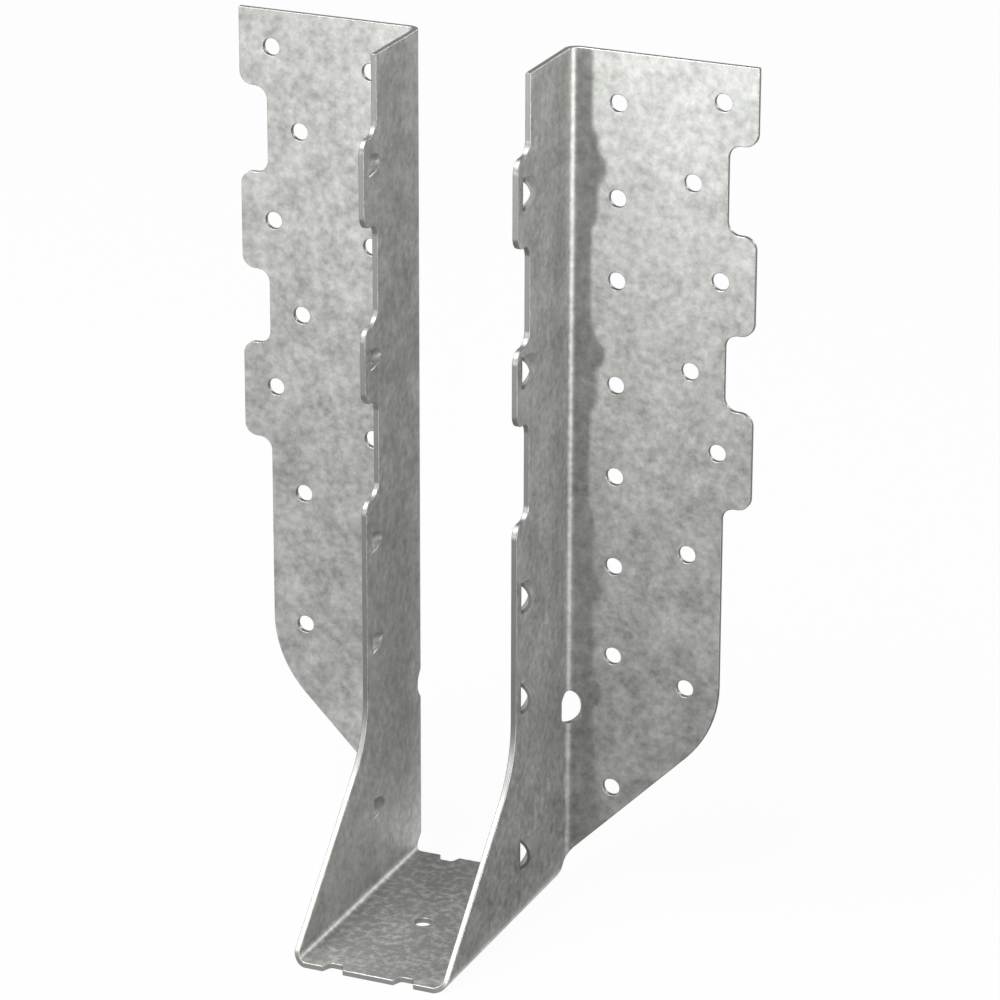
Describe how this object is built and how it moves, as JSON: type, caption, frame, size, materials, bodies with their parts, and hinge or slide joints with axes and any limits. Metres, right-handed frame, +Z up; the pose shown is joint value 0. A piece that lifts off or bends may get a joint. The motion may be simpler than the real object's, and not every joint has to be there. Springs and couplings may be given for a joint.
{
  "type": "joist hanger",
  "caption": "Face-mount hanger folded from galvanised sheet: a U-shaped seat for a joist, with toothed, nail-holed flanges to a header beam and lanced nail domes.",
  "frame": {"origin": "where the lower corner of the joist's end meets the header beam, midway between the side flanges", "axes": "X across the joist, +Y into the header beam (Y = 0 is the nailed face of the header flanges), +Z up from the upper face of the seat"},
  "size_m": [0.1464, 0.0821, 0.2334],
  "materials": {
    "galvanised_steel": "hot-dip galvanised sheet, fine spangle, satin"
  },
  "bodies": {
    "root": {"folded_sheet": "galvanised_steel"}
  },
  "joints": []
}
